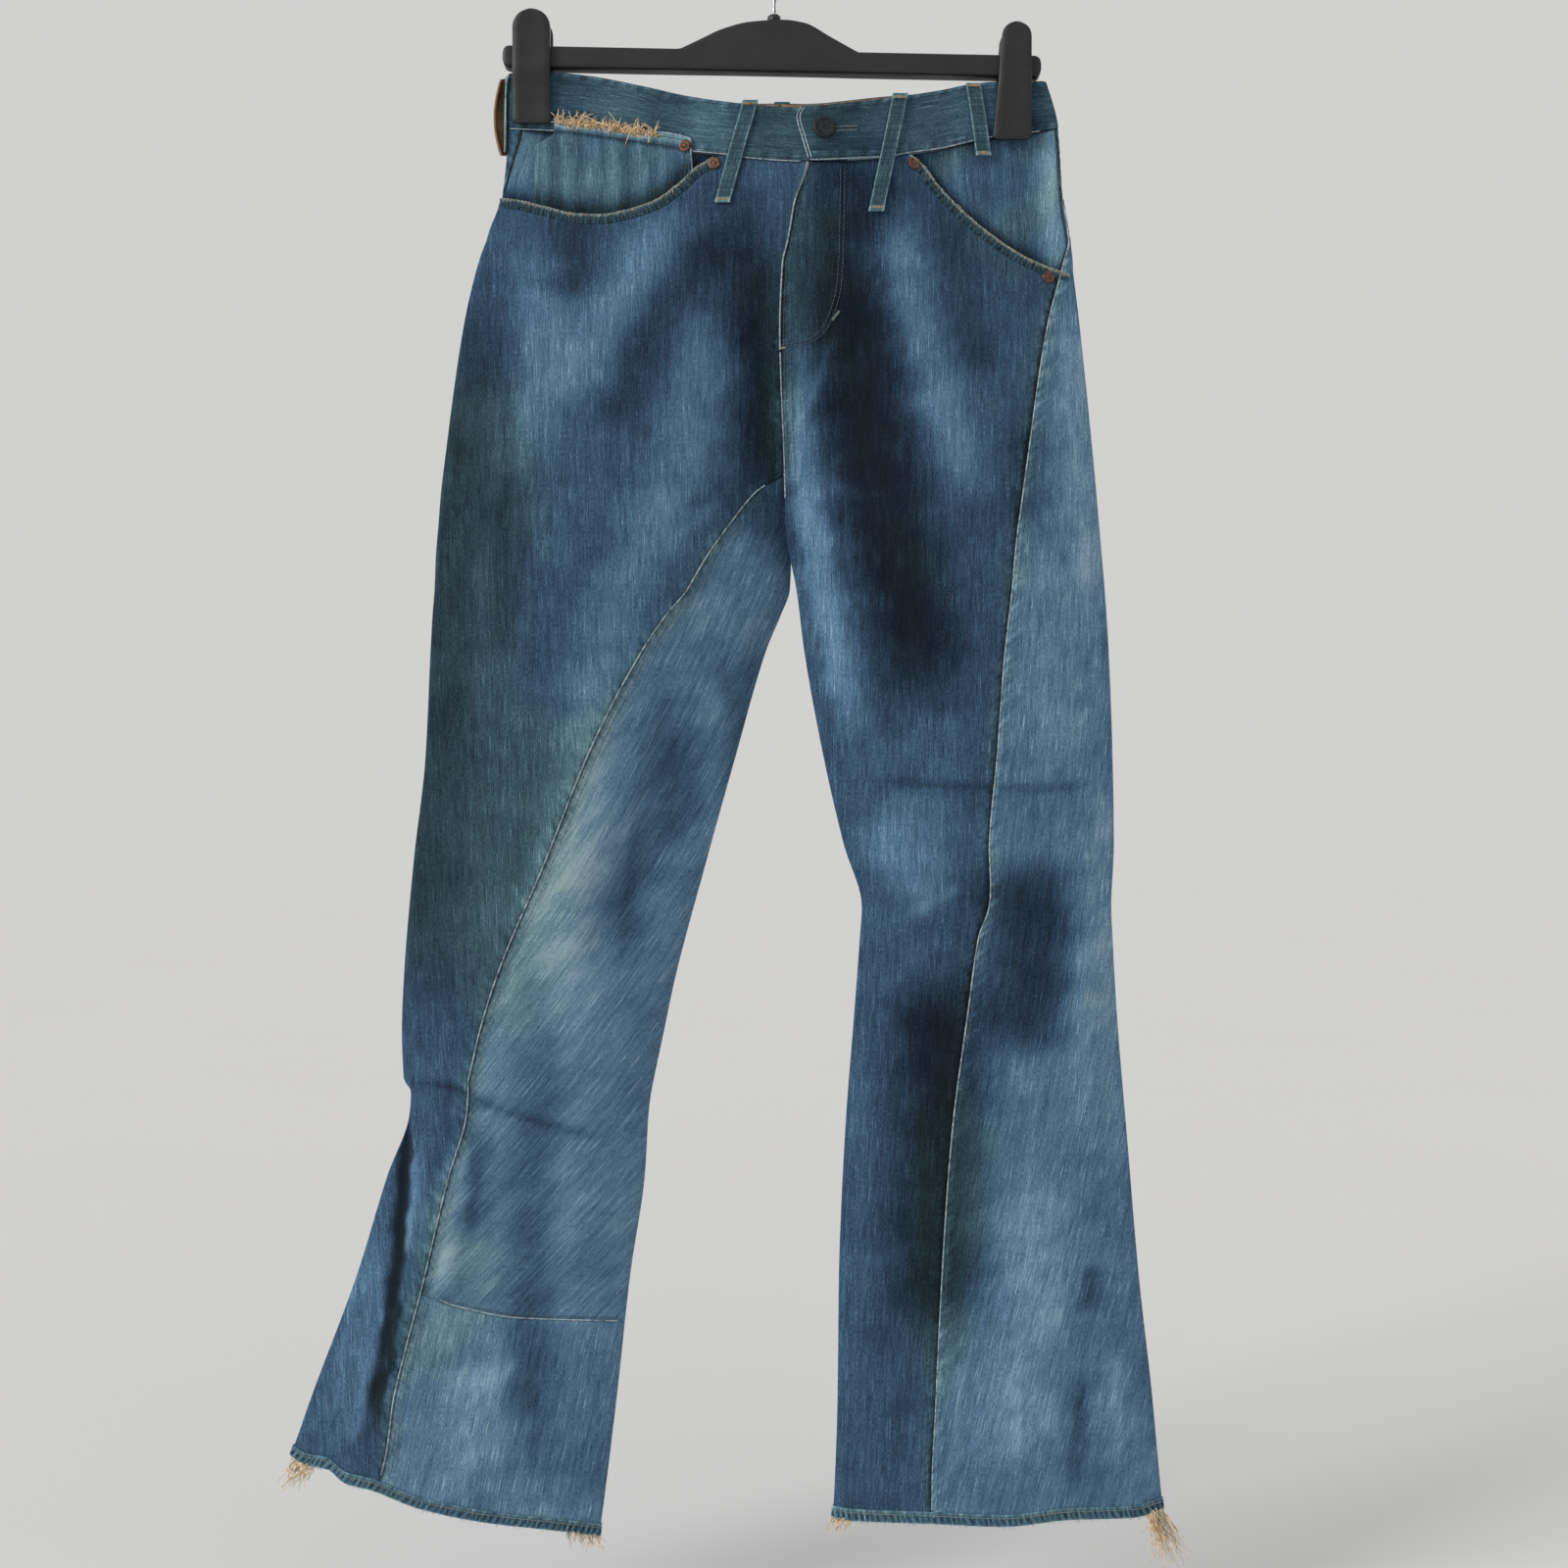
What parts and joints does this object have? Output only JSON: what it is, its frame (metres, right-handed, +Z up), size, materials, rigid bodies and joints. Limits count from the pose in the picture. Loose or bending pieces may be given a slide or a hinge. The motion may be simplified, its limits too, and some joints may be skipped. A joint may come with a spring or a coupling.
{
  "type": "jeans on a clip hanger",
  "caption": "Faded five-pocket denim jeans that hang flat by the waist from a plain bar hanger with spring clips and a wire hook.",
  "frame": {"origin": "inside top of the hanger's hook, where a rail bears", "axes": "+Z up, +X towards the wearer's left, +Y from the front of the garment to its back"},
  "size_m": [0.6951, 0.0732, 1.2386],
  "materials": {
    "denim": "washed cotton twill, faded along the folds",
    "leather": "dull, bare",
    "dark_metal": "dark, satin",
    "copper": "aged copper",
    "thread": "loose frayed yarn",
    "plastic": "black, satin",
    "steel": "bright wire"
  },
  "bodies": {
    "root": {"front_panel_right": "denim", "front_panel_left": "denim", "back_panel_right": "denim", "back_panel_left": "denim", "hem_panel_right": "denim", "yoke_right": "denim", "yoke_left": "denim", "waistband": "denim", "pocket_facing_right": "denim", "pocket_facing_left": "denim", "coin_pocket": "denim", "back_pocket_right": "denim", "back_pocket_left": "denim", "belt_loop_front_right": "denim", "belt_loop_front_left": "denim", "belt_loop_side_right": "denim", "belt_loop_side_left": "denim", "belt_loop_back": "denim", "leather_patch": "leather", "waist_button": "dark_metal", "rivet_1": "copper", "rivet_2": "copper", "rivet_3": "copper", "rivet_4": "copper", "fray_right_outer": "thread", "fray_right_inner": "thread", "fray_left_inner": "thread", "fray_left_outer": "thread", "hanger_bar": "plastic", "hanger_boss": "plastic", "hanger_hook": "steel", "clip_right_front": "plastic", "clip_right_back": "plastic", "clip_left_front": "plastic", "clip_left_back": "plastic"}
  },
  "joints": []
}
